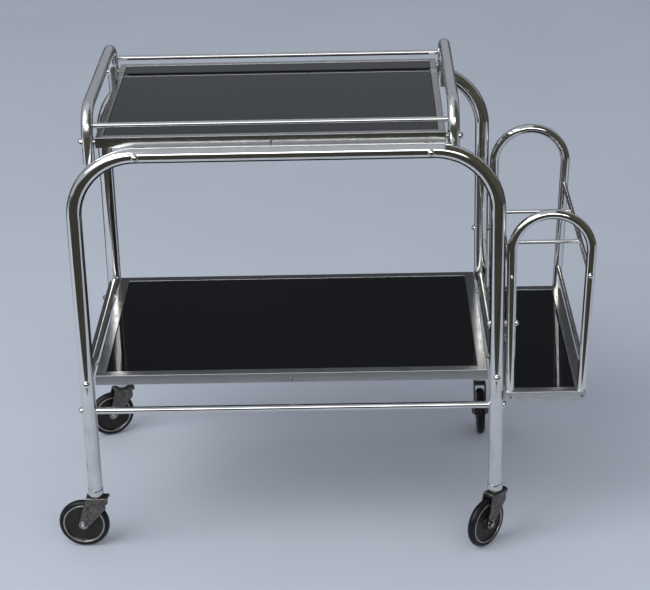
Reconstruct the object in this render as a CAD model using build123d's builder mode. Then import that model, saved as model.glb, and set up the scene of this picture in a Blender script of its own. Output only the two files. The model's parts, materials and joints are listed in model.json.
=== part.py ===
from build123d import *
import os
from math import cos, radians, sin, tan

# A tubular serving trolley: two bent-tube frames joined front to back, a glass shelf, a lift-off
# glass tray between two carrying handles, a bottle rack bolted to one end, and four swivel casters.
# X runs along the trolley (the rack is at +X), Y runs from front to back, Z is up from the floor.
# The origin is on the floor, under the middle of the whole trolley's bounding box.

# ---- main frames ----
tube_d = 22.0  # outside diameter of the frame tube
tube_wall = 1.5
leg_spacing = 600.0  # leg axis to leg axis, along X
frame_depth = 372.0  # front frame axis to rear frame axis, along Y
top_z = 626.0  # axis of the top tubes
bend_r = 91.5  # centreline radius of the top bends
leg_bottom_z = 92.0
cross_d = 16.0  # front-to-back cross tubes
cross_wall = 1.5
cross_plug = 16.0  # length of the solid end that takes the bolt
upper_cross_left = 207.5  # upper cross tubes, left and right of the middle
upper_cross_right = 205.0
stretcher_d = 10.5
stretcher_z = 228.5
fit_gap = 0.12  # gap between a coped end and the tube it meets

# ---- glass-carrying frames ----
channel = 15.0  # height of the folded channel, and its width on the shelf and the rack
tray_channel = 10.0  # its width on the tray
channel_wall = 1.5
edge_r = 0.8  # rounding of the channel's edges
glass_t = 5.0
glass_drop = 0.4  # glass surface below the channel's top
glass_gap = 0.3  # glass edge to channel
ledge = 6.0  # width of the strip that carries the glass
ledge_t = 2.0
mitre_w = 0.4  # scribed joint line at each corner
mitre_depth = 0.3
stiffener_w = 12.0
stiffener_t = 5.0

# ---- shelf ----
shelf_length = 576.0
shelf_depth = 366.0
shelf_top_z = 284.0
shelf_fixing_reach = 120.0  # fixing screws, in front of and behind the middle
shelf_screw_d = 4.0
shelf_screw_head_d = 8.0
spacer_d = 9.0

# ---- tray ----
tray_length = 490.0
tray_depth = 349.4
tray_shift = -19.0  # the tray stands a little towards the end without the rack
tray_rest_gap = 0.3
handle_d = 17.0
handle_wall = 1.5
handle_gap = 3.0  # tray frame to handle
handle_leg_reach = 165.5  # handle legs, in front of and behind the middle
handle_bolt_drop = 9.0  # tray top to the axis of the handle bolts
handle_bend_r = 38.0
handle_rise = 35.0  # tray top to the axis of the grip
handle_drop = 41.0  # tray top to the open feet of the handle
tray_rail_d = 7.5
tray_rail_rise = 14.0  # tray top to the axis of the gallery rods

# ---- bottle rack ----
rack_width = 118.0
rack_depth = 388.0
rack_top_z = 252.0
rack_gap = 2.0  # leg tube to rack
arch_d = 14.0
arch_wall = 1.2
arch_r = 56.5  # centreline radius of the arch
arch_top_z = 527.5  # axis of the arch at its crown
arch_lean = 2.2  # degrees that the outer leg leans in towards its foot
spigot_d = 9.0
spigot_drop = 11.0
spigot_grip = 15.0
rack_rail_d = 7.0
upper_rail_z = 435.0
lower_rail_z = 290.0
divider_d = 6.0
divider_reach = 62.0  # dividers in front of and behind the middle
rack_bolt_z = 360.0

# ---- bolts and screws ----
bolt_d = 6.0
dome_d = 10.5
small_bolt_d = 4.0
small_dome_d = 7.5
screw_d = 3.0
screw_head_d = 5.0
hole_gap = 0.4  # bolt diameter to hole diameter
thread_gap = 0.1

# ---- casters ----
wheel_d = 77.0
tyre_width = 12.5
tread_rise = 4.3  # height of the rounded tread above the tyre's shoulders
tyre_seat_d = 64.5
hub_d = 18.0
hub_length = 15.4
rim_width = 12.0
rim_inner_d = 55.0
web_t = 5.0
caster_trail = 21.0  # swivel axis to axle
fork_inner = 16.0
fork_plate = 2.0
fork_boss_r = 7.0
fork_front = 18.5
fork_back = 14.5
fork_shoulder_z = 67.0
fork_nose = 4.0  # the crown reaches this far past the front of the plates
fork_nose_depth = 6.0
crown_top_z = 84.8
crown_t = 2.5
crown_bend_r = 3.0
axle_d = 8.0
axle_head_d = 10.8
axle_head_t = 2.6
axle_washer_d = 13.0
axle_washer_t = 0.9
stem_d = 10.0
stem_top_z = 118.0
stem_collar_d = 15.0
stem_collar_t = 2.0
socket_lip_d = 23.4
socket_lip_t = 3.0
socket_neck_d = 20.0
socket_top_z = 122.0
running_gap = 0.05  # radial clearance of the stem in its socket and of the hub on its axle
swivel = {"front_left": -3.0, "front_right": 47.0, "rear_left": 24.0, "rear_right": 90.0}

# ---- places worked out from the sizes above ----
wheel_r = wheel_d / 2
tread_r = ((tyre_width / 2) ** 2 + tread_rise**2) / (2 * tread_rise)


def wheel_reach(angle):
    """How far a caster reaches from its leg, at an angle in degrees to its rolling direction."""
    return (caster_trail + wheel_r - tread_r) * cos(radians(angle)) + tread_r


reach_left = leg_spacing / 2 + wheel_reach(swivel["front_left"])
reach_right = leg_spacing / 2 + tube_d / 2 + rack_gap + arch_d + 2 * arch_r
reach_front = frame_depth / 2 + wheel_reach(90 - swivel["front_right"])
reach_rear = frame_depth / 2 + fork_front
mid_x = (reach_left - reach_right) / 2  # middle of the main frames
mid_y = (reach_front - reach_rear) / 2
leg_left_x = mid_x - leg_spacing / 2
leg_right_x = mid_x + leg_spacing / 2
front_y = mid_y - frame_depth / 2
rear_y = mid_y + frame_depth / 2
upper_cross_xs = (mid_x - upper_cross_left, mid_x + upper_cross_right)
lower_cross_z = shelf_top_z - channel / 2
tray_x = mid_x + tray_shift
tray_bottom_z = top_z + cross_d / 2 + tray_rest_gap
tray_top_z = tray_bottom_z + channel
rack_left = leg_right_x + tube_d / 2 + rack_gap
rack_x = rack_left + rack_width / 2
arch_left_x = rack_left + arch_d / 2
arch_spring_z = arch_top_z - arch_r
arch_end_x = arch_left_x + arch_r + arch_r * cos(radians(arch_lean))
arch_end_z = arch_spring_z - arch_r * sin(radians(arch_lean))

along_x = (0, 90, 0)
along_y = (90, 0, 0)
upright = (0, 0, 0)


def right_leg_x(z):
    """X of the rack's leaning outer legs at a height."""
    return arch_end_x - tan(radians(arch_lean)) * (arch_end_z - z)


def level(x, y, z):
    """A horizontal plane with its origin at a point."""
    return Plane(origin=(x, y, z))


def drill(points, rotation, diameter, length):
    """Cut round holes, centred on points, out of the part being built."""
    for point in points:
        with Locations(Location(point, rotation)):
            Cylinder(diameter / 2, length, mode=Mode.SUBTRACT)


def save(piece, name):
    """Label a finished piece and write it to its file."""
    piece.part.label = name
    export_step(piece.part, f"parts/{name}.step")


def ring_section(outer_d, wall):
    """The section of a tube, drawn in the current sketch."""
    Circle(outer_d / 2)
    Circle(outer_d / 2 - wall, mode=Mode.SUBTRACT)


# ---- tubes and rods ----


def frame_tube(y):
    """A tube bent into an upside-down U, drilled for its cross tubes, stretcher and rack."""
    with BuildPart() as tube:
        with BuildLine(Plane.XZ.offset(-y)) as route:
            FilletPolyline(
                (leg_left_x, leg_bottom_z),
                (leg_left_x, top_z),
                (leg_right_x, top_z),
                (leg_right_x, leg_bottom_z),
                radius=bend_r,
            )
        with BuildSketch(level(leg_left_x, y, leg_bottom_z)):
            ring_section(tube_d, tube_wall)
        sweep(path=route.line)
        through = tube_d + 4
        cross_points = [(x, y, top_z) for x in upper_cross_xs]
        cross_points += [(x, y, lower_cross_z) for x in (leg_left_x, leg_right_x)]
        drill(cross_points, along_y, bolt_d + hole_gap, through)
        stretcher_points = [(x, y, stretcher_z) for x in (leg_left_x, leg_right_x)]
        drill(stretcher_points, along_x, bolt_d + hole_gap, through)
        drill([(leg_right_x, y, rack_bolt_z)], along_x, bolt_d + hole_gap, through)
    return tube


def cross_tube(x, z, main_direction):
    """A front-to-back tube with solid threaded ends, coped to fit the frame tubes."""
    with BuildPart() as tube:
        with Locations(Location((x, mid_y, z), along_y)):
            Cylinder(cross_d / 2, frame_depth)
            hollow = frame_depth - tube_d - 2 * cross_plug
            Cylinder(cross_d / 2 - cross_wall, hollow, mode=Mode.SUBTRACT)
            Cylinder((bolt_d + thread_gap) / 2, frame_depth, mode=Mode.SUBTRACT)
        ends = [(x, front_y, z), (x, rear_y, z)]
        drill(ends, main_direction, tube_d + 2 * fit_gap, 3 * cross_d)
        if z == lower_cross_z:
            fixings = [(x, mid_y + side * shelf_fixing_reach, z) for side in (-1, 1)]
            drill(fixings, along_x, shelf_screw_d + hole_gap, cross_d + 2)
    return tube


def stretcher(y):
    """A rod between two legs, coped to fit them and tapped at its ends."""
    with BuildPart() as rod:
        with Locations(Location((mid_x, y, stretcher_z), along_x)):
            Cylinder(stretcher_d / 2, leg_spacing)
        ends = [(leg_left_x, y, stretcher_z), (leg_right_x, y, stretcher_z)]
        drill(ends, upright, tube_d + 2 * fit_gap, 3 * stretcher_d)
        drill(ends, along_x, bolt_d + thread_gap, 2 * (tube_d / 2 + cross_plug))
    return rod


def side_rod(x, z, post_y, post_d, diameter, tap_d=0.0):
    """A front-to-back rod between two posts, coped to fit them and tapped if it is bolted."""
    with BuildPart() as rod:
        with Locations(Location((x, mid_y, z), along_y)):
            Cylinder(diameter / 2, 2 * post_y)
        ends = [(x, mid_y - post_y, z), (x, mid_y + post_y, z)]
        drill(ends, upright, post_d + 4 * fit_gap, 3 * diameter)
        if tap_d:
            drill(ends, along_y, tap_d, post_d + 24)
    return rod


# ---- fasteners ----


def dome_bolt(shank_d, head_d, shank_length, seat_d):
    """A dome-headed bolt along Z, with its head saddled to a tube of diameter seat_d along X."""
    head_r = head_d / 2
    saddle = 0.0 if seat_d == 0 else seat_d / 2 - (seat_d**2 / 4 - head_r**2) ** 0.5
    dome_h = head_r * 0.62
    with BuildPart() as bolt:
        with BuildSketch(Plane.XZ):
            with BuildLine():
                Line((0, -saddle), (head_r, -saddle))
                Line((head_r, -saddle), (head_r, 1.5))
                TangentArc((0, 1.5 + dome_h), (head_r, 1.5), tangent=(1, 0))
                Line((0, 1.5 + dome_h), (0, -saddle))
            make_face()
        revolve(axis=Axis.Z)
        if seat_d:
            with Locations(Location((0, 0, -seat_d / 2), along_x)):
                Cylinder(seat_d / 2 + fit_gap, 2 * head_d, mode=Mode.SUBTRACT)
        with Locations((0, 0, -shank_length / 2 + 0.5)):
            Cylinder(shank_d / 2, shank_length + 1)
    return bolt


def dome_nut(shank_d, head_d, seat_d):
    """A dome nut along Z with a blind hole, saddled to a tube of diameter seat_d along X."""
    with BuildPart() as nut:
        add(dome_bolt(shank_d, head_d, 1.0, seat_d).part)
        with Locations((0, 0, -seat_d / 2)):
            Cylinder((shank_d + thread_gap) / 2, seat_d + 6.0, mode=Mode.SUBTRACT)
    return nut


def placed(copies):
    """One node holding several separate fasteners, each given as (fastener, plane)."""
    with BuildPart() as group:
        for fastener, plane in copies:
            with Locations(plane):
                add(fastener.part)
    return group


def facing(point, direction, tube_direction):
    """The plane of a fastener whose head points one way, on a tube that runs another way."""
    return Plane(origin=point, x_dir=tube_direction, z_dir=direction)


# ---- glass and its frames ----


def glass_frame(x, length, depth, top, width=channel):
    """A mitred frame of folded channel, open below, with a ledge inside that carries the glass."""
    bottom = top - channel
    with BuildPart() as frame:
        with BuildSketch(level(x, mid_y, bottom)):
            Rectangle(length, depth)
            Rectangle(length - 2 * width, depth - 2 * width, mode=Mode.SUBTRACT)
        extrude(amount=channel)
        fillet(frame.faces().sort_by(Axis.Z)[-1].edges(), radius=edge_r)
        with BuildSketch(level(x, mid_y, bottom)):
            Rectangle(length - 2 * channel_wall, depth - 2 * channel_wall)
            inset = 2 * (width - channel_wall)
            Rectangle(length - inset, depth - inset, mode=Mode.SUBTRACT)
        extrude(amount=channel - channel_wall, mode=Mode.SUBTRACT)
        with BuildSketch(level(x, mid_y, top - glass_drop - glass_t - ledge_t)):
            Rectangle(length - 2 * width, depth - 2 * width)
            inset = 2 * (width + ledge)
            Rectangle(length - inset, depth - inset, mode=Mode.SUBTRACT)
        extrude(amount=ledge_t)
        for x_side in (-1, 1):
            for y_side in (-1, 1):
                corner = (x + x_side * (length - width) / 2, mid_y + y_side * (depth - width) / 2, top)
                with Locations(Location(corner, (0, 0, 45 * x_side * y_side))):
                    Box(width * 1.6, mitre_w, 2 * mitre_depth, mode=Mode.SUBTRACT)
    return frame


def glass_pane(x, length, depth, top, width=channel):
    """A pane that drops into a glass frame and rests on its ledge."""
    with BuildPart() as pane:
        inset = 2 * (width + glass_gap)
        with BuildSketch(level(x, mid_y, top - glass_drop - glass_t)):
            Rectangle(length - inset, depth - inset)
        extrude(amount=glass_t)
        chamfer(pane.faces().sort_by(Axis.Z)[-1].edges(), length=0.6)
    return pane


def stiffener(x, depth, top, width=channel):
    """A bar across the middle of a frame, under the glass, tapped at its ends."""
    ledge_bottom = top - glass_drop - glass_t - ledge_t
    span = depth - 2 * width
    with BuildPart() as bar:
        with BuildSketch(level(x, mid_y, ledge_bottom - stiffener_t)):
            Rectangle(stiffener_w, span)
        extrude(amount=stiffener_t)
        with BuildSketch(level(x, mid_y, ledge_bottom)):
            Rectangle(stiffener_w, span - 2 * ledge - 1)
        extrude(amount=ledge_t)
        ends = [(x, mid_y + side * span / 2, ledge_bottom - stiffener_t / 2) for side in (-1, 1)]
        drill(ends, along_y, screw_d + thread_gap, 20)
    return bar


def stiffener_screws(x, depth, top, width=channel):
    """The two small screws that hold a stiffener through the front and back of its frame."""
    z = top - glass_drop - glass_t - ledge_t - stiffener_t / 2
    screw = dome_bolt(screw_d, screw_head_d, width + 8, 0)
    front = facing((x, mid_y - depth / 2, z), (0, -1, 0), (1, 0, 0))
    back = facing((x, mid_y + depth / 2, z), (0, 1, 0), (1, 0, 0))
    return [(screw, front), (screw, back)]


def drill_stiffener_holes(x, depth, top, width=channel):
    """The clearance holes for those screws in the frame being built."""
    z = top - glass_drop - glass_t - ledge_t - stiffener_t / 2
    points = [(x, mid_y + side * (depth - width) / 2, z) for side in (-1, 1)]
    drill(points, along_y, screw_d + hole_gap, width + 2)


# ---- main frame ----

front_frame_tube = frame_tube(front_y)
rear_frame_tube = frame_tube(rear_y)
upper_cross_tube_left = cross_tube(upper_cross_xs[0], top_z, along_x)
upper_cross_tube_right = cross_tube(upper_cross_xs[1], top_z, along_x)
lower_cross_tube_left = cross_tube(leg_left_x, lower_cross_z, upright)
lower_cross_tube_right = cross_tube(leg_right_x, lower_cross_z, upright)
front_stretcher_rod = stretcher(front_y)
rear_stretcher_rod = stretcher(rear_y)

frame_bolt = dome_bolt(bolt_d, dome_d, tube_d + cross_plug - 4, tube_d)
cross_bolt_copies = []
stretcher_bolt_copies = []
for frame_y, outward in ((front_y, -1), (rear_y, 1)):
    face_y = frame_y + outward * tube_d / 2
    for x in upper_cross_xs:
        cross_bolt_copies.append((frame_bolt, facing((x, face_y, top_z), (0, outward, 0), (1, 0, 0))))
    for x in (leg_left_x, leg_right_x):
        plane = facing((x, face_y, lower_cross_z), (0, outward, 0), (0, 0, 1))
        cross_bolt_copies.append((frame_bolt, plane))
    for x, side in ((leg_left_x, -1), (leg_right_x, 1)):
        plane = facing((x + side * tube_d / 2, frame_y, stretcher_z), (side, 0, 0), (0, 0, 1))
        stretcher_bolt_copies.append((frame_bolt, plane))
cross_tube_bolts = placed(cross_bolt_copies)
stretcher_bolts = placed(stretcher_bolt_copies)

# ---- shelf ----

shelf_fixing_ys = (mid_y - shelf_fixing_reach, mid_y + shelf_fixing_reach)
with BuildPart() as shelf_frame:
    add(glass_frame(mid_x, shelf_length, shelf_depth, shelf_top_z).part)
    drill_stiffener_holes(mid_x, shelf_depth, shelf_top_z)
    for side in (-1, 1):
        wall_x = mid_x + side * (shelf_length - channel_wall) / 2
        points = [(wall_x, y, lower_cross_z) for y in shelf_fixing_ys]
        drill(points, along_x, shelf_screw_d + thread_gap, 3)
shelf_glass = glass_pane(mid_x, shelf_length, shelf_depth, shelf_top_z)
shelf_stiffener = stiffener(mid_x, shelf_depth, shelf_top_z)

with BuildPart() as shelf_spacers:
    for leg_x, side in ((leg_left_x, -1), (leg_right_x, 1)):
        frame_side_x = mid_x + side * shelf_length / 2
        reach = abs(leg_x - frame_side_x)
        for y in shelf_fixing_ys:
            with Locations(Location(((leg_x + frame_side_x) / 2, y, lower_cross_z), along_x)):
                Cylinder(spacer_d / 2, reach)
                Cylinder((shelf_screw_d + hole_gap) / 2, reach, mode=Mode.SUBTRACT)
            drill([(leg_x, y, lower_cross_z)], along_y, cross_d + 2 * fit_gap, 2 * spacer_d)

shelf_screw = dome_bolt(
    shelf_screw_d, shelf_screw_head_d, (leg_spacing - shelf_length) / 2 + cross_d / 2 + 5, cross_d
)
shelf_screw_copies = stiffener_screws(mid_x, shelf_depth, shelf_top_z)
for leg_x, side in ((leg_left_x, -1), (leg_right_x, 1)):
    for y in shelf_fixing_ys:
        point = (leg_x + side * cross_d / 2, y, lower_cross_z)
        shelf_screw_copies.append((shelf_screw, facing(point, (side, 0, 0), (0, 1, 0))))
shelf_screws = placed(shelf_screw_copies)

# ---- lift-off tray ----

handle_reach = tray_length / 2 + handle_gap + handle_d / 2
handle_xs = (tray_x - handle_reach, tray_x + handle_reach)
handle_bolt_z = tray_top_z - handle_bolt_drop
tray_rail_z = tray_top_z + tray_rail_rise
grip_z = tray_top_z + handle_rise
bend_height = tray_rail_z - (grip_z - handle_bend_r)
tray_rail_reach = handle_leg_reach - handle_bend_r + (handle_bend_r**2 - bend_height**2) ** 0.5


def tray_handle(x):
    """A carrying handle: a tube bent into an upside-down U with one open foot at each corner."""
    foot_z = tray_top_z - handle_drop
    with BuildPart() as handle:
        with BuildLine(Plane.YZ.offset(x)) as route:
            FilletPolyline(
                (mid_y - handle_leg_reach, foot_z),
                (mid_y - handle_leg_reach, grip_z),
                (mid_y + handle_leg_reach, grip_z),
                (mid_y + handle_leg_reach, foot_z),
                radius=handle_bend_r,
            )
        with BuildSketch(level(x, mid_y - handle_leg_reach, foot_z)):
            ring_section(handle_d, handle_wall)
        sweep(path=route.line)
        points = [(x, mid_y + side * handle_leg_reach, handle_bolt_z) for side in (-1, 1)]
        drill(points, along_x, bolt_d + hole_gap, handle_d + 2)
    return handle


def tray_rail(side):
    """A gallery rod between the two handles, coped to fit their tubes."""
    y = mid_y + side * tray_rail_reach
    with BuildPart() as rod:
        with Locations(Location(((handle_xs[0] + handle_xs[1]) / 2, y, tray_rail_z), along_x)):
            Cylinder(tray_rail_d / 2, handle_xs[1] - handle_xs[0])
        for x in handle_xs:
            with Locations((x, y, tray_rail_z)):
                Box(handle_d + 2 * fit_gap, 3 * tray_rail_d, 3 * tray_rail_d, mode=Mode.SUBTRACT)
    return rod


with BuildPart() as tray_frame:
    add(glass_frame(tray_x, tray_length, tray_depth, tray_top_z, tray_channel).part)
    drill_stiffener_holes(tray_x, tray_depth, tray_top_z, tray_channel)
    for x_side in (-1, 1):
        wall_x = tray_x + x_side * (tray_length - channel_wall) / 2
        points = [(wall_x, mid_y + side * handle_leg_reach, handle_bolt_z) for side in (-1, 1)]
        drill(points, along_x, bolt_d + thread_gap, 3)
tray_glass = glass_pane(tray_x, tray_length, tray_depth, tray_top_z, tray_channel)
tray_stiffener = stiffener(tray_x, tray_depth, tray_top_z, tray_channel)
tray_handle_left = tray_handle(handle_xs[0])
tray_handle_right = tray_handle(handle_xs[1])
tray_rail_front = tray_rail(-1)
tray_rail_rear = tray_rail(1)

with BuildPart() as tray_handle_spacers:
    for x, x_side in zip(handle_xs, (-1, 1)):
        inner_x = tray_x + x_side * tray_length / 2
        for y_side in (-1, 1):
            y = mid_y + y_side * handle_leg_reach
            with Locations(Location(((x + inner_x) / 2, y, handle_bolt_z), along_x)):
                Cylinder(spacer_d / 2, abs(x - inner_x))
                Cylinder((bolt_d + hole_gap) / 2, abs(x - inner_x), mode=Mode.SUBTRACT)
            drill([(x, y, handle_bolt_z)], upright, handle_d + 2 * fit_gap, 2 * spacer_d)

handle_bolt = dome_bolt(bolt_d, dome_d, handle_d + handle_gap + 5, handle_d)
handle_bolt_copies = []
for x, x_side in zip(handle_xs, (-1, 1)):
    for y_side in (-1, 1):
        point = (x + x_side * handle_d / 2, mid_y + y_side * handle_leg_reach, handle_bolt_z)
        handle_bolt_copies.append((handle_bolt, facing(point, (x_side, 0, 0), (0, 0, 1))))
tray_handle_bolts = placed(handle_bolt_copies)
tray_screws = placed(stiffener_screws(tray_x, tray_depth, tray_top_z, tray_channel))

# ---- bottle rack ----


def rack_arch(y):
    """A tube arch with a spigot at each foot, its outer leg leaning in towards the foot."""
    foot_x = right_leg_x(rack_top_z)
    with BuildPart() as arch:
        with BuildLine(Plane.XZ.offset(-y)) as route:
            Line((arch_left_x, rack_top_z), (arch_left_x, arch_spring_z))
            CenterArc((arch_left_x + arch_r, arch_spring_z), arch_r, 180, -(180 + arch_lean))
            Line((arch_end_x, arch_end_z), (foot_x, rack_top_z))
        with BuildSketch(level(arch_left_x, y, rack_top_z)):
            ring_section(arch_d, arch_wall)
        sweep(path=route.line)
        split(bisect_by=level(0, y, rack_top_z), keep=Keep.TOP)
        for x in (arch_left_x, foot_x):
            with Locations((x, y, rack_top_z + spigot_grip / 2)):
                Cylinder(arch_d / 2 - arch_wall + 0.2, spigot_grip)
            with Locations((x, y, rack_top_z - spigot_drop / 2)):
                Cylinder(spigot_d / 2, spigot_drop)
        screw_points = [(x, y, rack_top_z - channel / 2) for x in (arch_left_x, foot_x)]
        drill(screw_points, along_y, screw_d + thread_gap, spigot_d + 2)
        drill([(arch_left_x, y, rack_bolt_z)], along_x, small_bolt_d + 1 + hole_gap, arch_d + 2)
        rail_points = [(arch_left_x, y, upper_rail_z), (right_leg_x(upper_rail_z), y, upper_rail_z)]
        drill(rail_points, along_y, small_bolt_d + hole_gap, arch_d + 2)
    return arch


rack_front_arch = rack_arch(front_y)
rack_rear_arch = rack_arch(rear_y)

spigot_xs = (arch_left_x, right_leg_x(rack_top_z))
with BuildPart() as rack_frame:
    add(glass_frame(rack_x, rack_width, rack_depth, rack_top_z).part)
    for y, outward in ((front_y, -1), (rear_y, 1)):
        drill([(x, y, rack_top_z) for x in spigot_xs], upright, spigot_d + thread_gap, 6)
        wall_y = mid_y + outward * (rack_depth - channel_wall) / 2
        screw_points = [(x, wall_y, rack_top_z - channel / 2) for x in spigot_xs]
        drill(screw_points, along_y, screw_d + hole_gap, 3)
rack_glass = glass_pane(rack_x, rack_width, rack_depth, rack_top_z)

half = frame_depth / 2
rail_tap = small_bolt_d + thread_gap
rack_upper_rail_left = side_rod(arch_left_x, upper_rail_z, half, arch_d, rack_rail_d, rail_tap)
rack_upper_rail_right = side_rod(
    right_leg_x(upper_rail_z), upper_rail_z, half, arch_d, rack_rail_d, rail_tap
)
rack_lower_rail_left = side_rod(arch_left_x, lower_rail_z, half, arch_d, rack_rail_d)
rack_lower_rail_right = side_rod(right_leg_x(lower_rail_z), lower_rail_z, half, arch_d, rack_rail_d)

with BuildPart() as rack_dividers:
    left_x = arch_left_x
    right_x = right_leg_x(upper_rail_z)
    for side in (-1, 1):
        y = mid_y + side * divider_reach
        with Locations(Location(((left_x + right_x) / 2, y, upper_rail_z), along_x)):
            Cylinder(divider_d / 2, right_x - left_x)
        ends = [(left_x, y, upper_rail_z), (right_x, y, upper_rail_z)]
        drill(ends, along_y, rack_rail_d + 2 * fit_gap, 2 * divider_d)

rail_bolt = dome_bolt(small_bolt_d, small_dome_d, arch_d + 8, arch_d)
flat_bolt = dome_bolt(small_bolt_d, 4.6, arch_d + 8, arch_d)
rail_bolt_copies = []
for y, outward in ((front_y, -1), (rear_y, 1)):
    for x in (arch_left_x, right_leg_x(upper_rail_z)):
        point = (x, y + outward * arch_d / 2, upper_rail_z)
        is_replaced = outward < 0 and x == arch_left_x  # this corner has a smaller head
        bolt = flat_bolt if is_replaced else rail_bolt
        rail_bolt_copies.append((bolt, facing(point, (0, outward, 0), (0, 0, 1))))
rack_rail_bolts = placed(rail_bolt_copies)

rack_bolt_d = small_bolt_d + 1
rack_bolt_length = tube_d + rack_gap + arch_d + 2
rack_bolt = dome_bolt(rack_bolt_d, dome_d - 1, rack_bolt_length, tube_d)
rack_nut = dome_nut(rack_bolt_d, dome_d - 1, arch_d)
rack_bolt_copies = []
for y in (front_y, rear_y):
    inner = (leg_right_x - tube_d / 2, y, rack_bolt_z)
    outer = (arch_left_x + arch_d / 2, y, rack_bolt_z)
    rack_bolt_copies.append((rack_bolt, facing(inner, (-1, 0, 0), (0, 0, 1))))
    rack_bolt_copies.append((rack_nut, facing(outer, (1, 0, 0), (0, 0, 1))))
rack_mounting_bolts = placed(rack_bolt_copies)

with BuildPart() as rack_mounting_spacers:
    for y in (front_y, rear_y):
        with Locations(Location(((leg_right_x + arch_left_x) / 2, y, rack_bolt_z), along_x)):
            Cylinder(spacer_d / 2, arch_left_x - leg_right_x)
            bore_r = (rack_bolt_d + hole_gap) / 2
            Cylinder(bore_r, arch_left_x - leg_right_x, mode=Mode.SUBTRACT)
        drill([(leg_right_x, y, rack_bolt_z)], upright, tube_d + 2 * fit_gap, 2 * spacer_d)
        drill([(arch_left_x, y, rack_bolt_z)], upright, arch_d + 2 * fit_gap, 2 * spacer_d)

foot_screw = dome_bolt(screw_d, 4.4, 8, 0)
foot_screw_copies = []
for outward in (-1, 1):
    for x in spigot_xs:
        point = (x, mid_y + outward * rack_depth / 2, rack_top_z - channel / 2)
        foot_screw_copies.append((foot_screw, facing(point, (0, outward, 0), (1, 0, 0))))
rack_frame_screws = placed(foot_screw_copies)

# ---- caster sockets in the ends of the legs ----

legs = {
    "front_left": (leg_left_x, front_y),
    "front_right": (leg_right_x, front_y),
    "rear_left": (leg_left_x, rear_y),
    "rear_right": (leg_right_x, rear_y),
}
socket_bottom_z = crown_top_z + stem_collar_t + 0.2
lip_top_z = socket_bottom_z + socket_lip_t
with BuildPart() as caster_sockets:
    for x, y in legs.values():
        with BuildSketch(level(x, y, socket_bottom_z)):
            Circle(socket_lip_d / 2)
        extrude(amount=socket_lip_t)
        with BuildSketch(level(x, y, lip_top_z)):
            Circle(socket_neck_d / 2)
        extrude(amount=leg_bottom_z - lip_top_z)
        with BuildSketch(level(x, y, leg_bottom_z)):
            Circle(tube_d / 2 - tube_wall - fit_gap)
        extrude(amount=socket_top_z - leg_bottom_z)
        with BuildSketch(level(x, y, socket_bottom_z)):
            Circle(stem_d / 2 + running_gap)
        extrude(amount=stem_top_z + 1 - socket_bottom_z, mode=Mode.SUBTRACT)

root_pieces = {
    "front_frame_tube": front_frame_tube,
    "rear_frame_tube": rear_frame_tube,
    "upper_cross_tube_left": upper_cross_tube_left,
    "upper_cross_tube_right": upper_cross_tube_right,
    "lower_cross_tube_left": lower_cross_tube_left,
    "lower_cross_tube_right": lower_cross_tube_right,
    "cross_tube_bolts": cross_tube_bolts,
    "front_stretcher_rod": front_stretcher_rod,
    "rear_stretcher_rod": rear_stretcher_rod,
    "stretcher_bolts": stretcher_bolts,
    "shelf_frame": shelf_frame,
    "shelf_glass": shelf_glass,
    "shelf_stiffener": shelf_stiffener,
    "shelf_spacers": shelf_spacers,
    "shelf_screws": shelf_screws,
    "tray_frame": tray_frame,
    "tray_glass": tray_glass,
    "tray_stiffener": tray_stiffener,
    "tray_handle_left": tray_handle_left,
    "tray_handle_right": tray_handle_right,
    "tray_rail_front": tray_rail_front,
    "tray_rail_rear": tray_rail_rear,
    "tray_handle_bolts": tray_handle_bolts,
    "tray_handle_spacers": tray_handle_spacers,
    "tray_screws": tray_screws,
    "rack_front_arch": rack_front_arch,
    "rack_rear_arch": rack_rear_arch,
    "rack_frame": rack_frame,
    "rack_glass": rack_glass,
    "rack_upper_rail_left": rack_upper_rail_left,
    "rack_upper_rail_right": rack_upper_rail_right,
    "rack_lower_rail_left": rack_lower_rail_left,
    "rack_lower_rail_right": rack_lower_rail_right,
    "rack_dividers": rack_dividers,
    "rack_rail_bolts": rack_rail_bolts,
    "rack_mounting_bolts": rack_mounting_bolts,
    "rack_mounting_spacers": rack_mounting_spacers,
    "rack_frame_screws": rack_frame_screws,
    "caster_sockets": caster_sockets,
}

os.makedirs("parts", exist_ok=True)
for piece_name, piece in root_pieces.items():
    save(piece, piece_name)

# ---- swivel casters ----


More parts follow.
